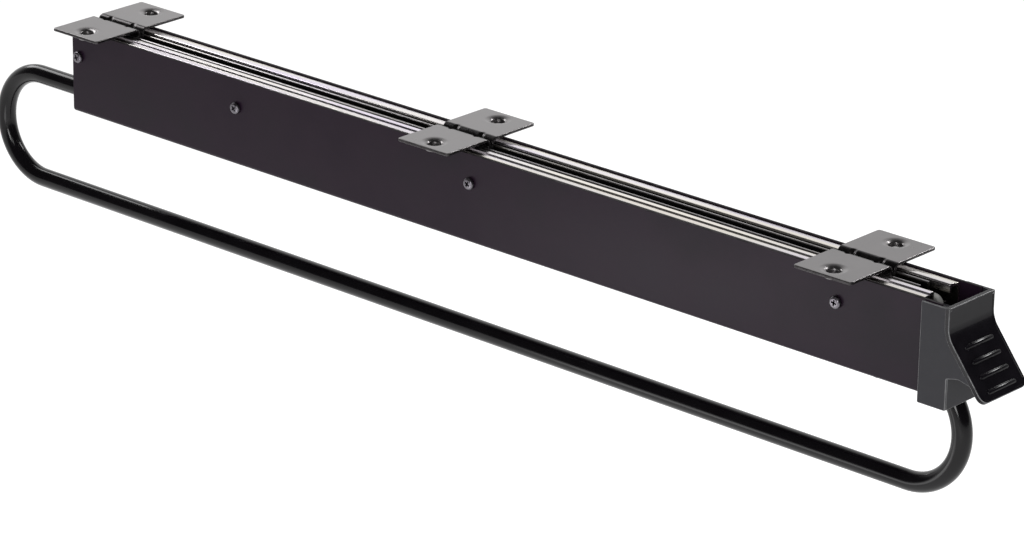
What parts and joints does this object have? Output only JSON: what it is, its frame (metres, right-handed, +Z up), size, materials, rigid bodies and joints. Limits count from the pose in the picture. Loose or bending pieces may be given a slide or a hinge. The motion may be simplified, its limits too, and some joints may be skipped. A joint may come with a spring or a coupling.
{
  "type": "pull-out clothes rail",
  "caption": "Under-shelf pull-out clothes rail: a black channel on ball slides hangs from angle brackets and carries a bent hanging rod and a ribbed end handle",
  "frame": {"origin": "on the shelf face, at the middle of the middle pair of brackets", "axes": "+X along the rail towards the handle, the way it pulls out; +Y to the right of a person who faces the handle, looking along -X; +Z up into the shelf"},
  "size_m": [0.5401, 0.0514, 0.0864],
  "materials": {
    "black_nickel": "satin dark grey plating",
    "zinc": "bright zinc",
    "channel_black": "satin purple-black lacquer",
    "rod_black": "gloss black lacquer",
    "handle_black": "moulded black, gloss front and satin sides",
    "screw_black": "black oxide",
    "steel": "plain steel",
    "rubber_grey": "matt grey"
  },
  "bodies": {
    "mounting": {"bracket_rear_left": "black_nickel", "bracket_rear_right": "black_nickel", "bracket_middle_left": "black_nickel", "bracket_middle_right": "black_nickel", "bracket_front_left": "black_nickel", "bracket_front_right": "black_nickel", "inner_rail_left": "zinc", "inner_rail_right": "zinc", "rivet_rear_left_1": "steel", "rivet_rear_left_2": "steel", "rivet_rear_right_1": "steel", "rivet_rear_right_2": "steel", "rivet_middle_left_1": "steel", "rivet_middle_left_2": "steel", "rivet_middle_right_1": "steel", "rivet_middle_right_2": "steel", "rivet_front_left_1": "steel", "rivet_front_left_2": "steel", "rivet_front_right_1": "steel", "rivet_front_right_2": "steel", "closing_buffer": "rubber_grey", "buffer_pin": "steel"},
    "carriage": {"channel": "channel_black", "outer_rail_left": "zinc", "outer_rail_right": "zinc", "side_screw_left_1": "screw_black", "side_screw_left_2": "screw_black", "side_screw_left_3": "screw_black", "side_screw_left_4": "screw_black", "side_screw_right_1": "screw_black", "side_screw_right_2": "screw_black", "side_screw_right_3": "screw_black", "side_screw_right_4": "screw_black", "end_handle": "handle_black", "hanging_rod": "rod_black", "handle_screw_left": "screw_black", "handle_screw_right": "screw_black", "rod_screw_rear_1": "screw_black", "rod_screw_rear_2": "screw_black", "rod_screw_front_1": "screw_black", "rod_screw_front_2": "screw_black"},
    "cage_left": {"ball_cage_left": "steel"},
    "cage_right": {"ball_cage_right": "steel"}
  },
  "joints": [
    {"name": "carriage_slide", "type": "slide", "parent": "mounting", "child": "carriage", "axis": [1, 0, 0], "range_m": [0, 0.33]},
    {"name": "cage_left_slide", "type": "slide", "parent": "mounting", "child": "cage_left", "axis": [1, 0, 0], "range_m": [0, 0.165]},
    {"name": "cage_right_slide", "type": "slide", "parent": "mounting", "child": "cage_right", "axis": [1, 0, 0], "range_m": [0, 0.165]}
  ],
  "couplings": [
    {"joint": "cage_left_slide", "follows": "carriage_slide", "ratio": 0.5},
    {"joint": "cage_right_slide", "follows": "carriage_slide", "ratio": 0.5}
  ]
}
